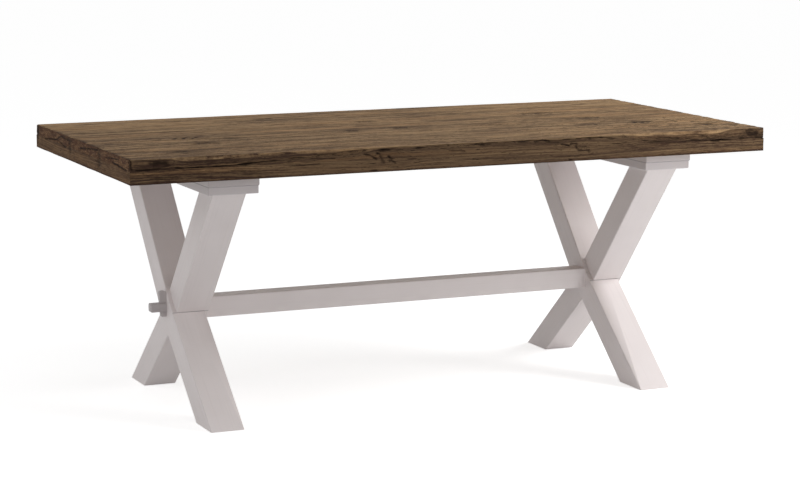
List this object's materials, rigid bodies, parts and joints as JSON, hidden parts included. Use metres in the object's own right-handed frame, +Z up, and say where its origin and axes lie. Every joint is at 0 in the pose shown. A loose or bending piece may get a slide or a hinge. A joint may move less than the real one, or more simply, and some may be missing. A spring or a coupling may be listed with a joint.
{
  "type": "sawbuck table",
  "caption": "Rustic dining table: a thick oak plank top on white painted X-shaped trestles, tied by a square stretcher with a wedged tusk tenon.",
  "frame": {"origin": "on the floor, under the middle of the top", "axes": "+X along the length towards the end without the tusk, +Y to the back, +Z up"},
  "size_m": [1.9, 0.92, 0.76],
  "materials": {
    "oak_top": "brushed and stained oak, matt",
    "softwood": "planed, bare",
    "white_paint": "white paint, satin, over planed wood",
    "wedge_paint": "white paint, handled and rubbed",
    "zinc_steel": "zinc plated"
  },
  "bodies": {
    "table": {"top_plank_1": "oak_top", "top_plank_2": "oak_top", "top_plank_3": "oak_top", "top_plank_4": "oak_top", "top_plank_5": "oak_top", "plank_splines": "softwood", "edge_strip_front": "oak_top", "edge_strip_back": "oak_top", "edge_strip_left": "oak_top", "edge_strip_right": "oak_top", "left_batten": "softwood", "right_batten": "softwood", "left_front_leg": "white_paint", "left_back_leg": "white_paint", "right_front_leg": "white_paint", "right_back_leg": "white_paint", "left_rail": "white_paint", "left_top_board": "white_paint", "right_rail": "white_paint", "right_top_board": "white_paint", "left_top_screws": "zinc_steel", "right_top_screws": "zinc_steel", "stretcher": "white_paint"},
    "tusk": {"tusk_wedge": "wedge_paint"}
  },
  "joints": [
    {"name": "tusk_lift", "type": "slide", "parent": "table", "child": "tusk", "axis": [0, 0, 1], "range_m": [0, 0.06]}
  ]
}
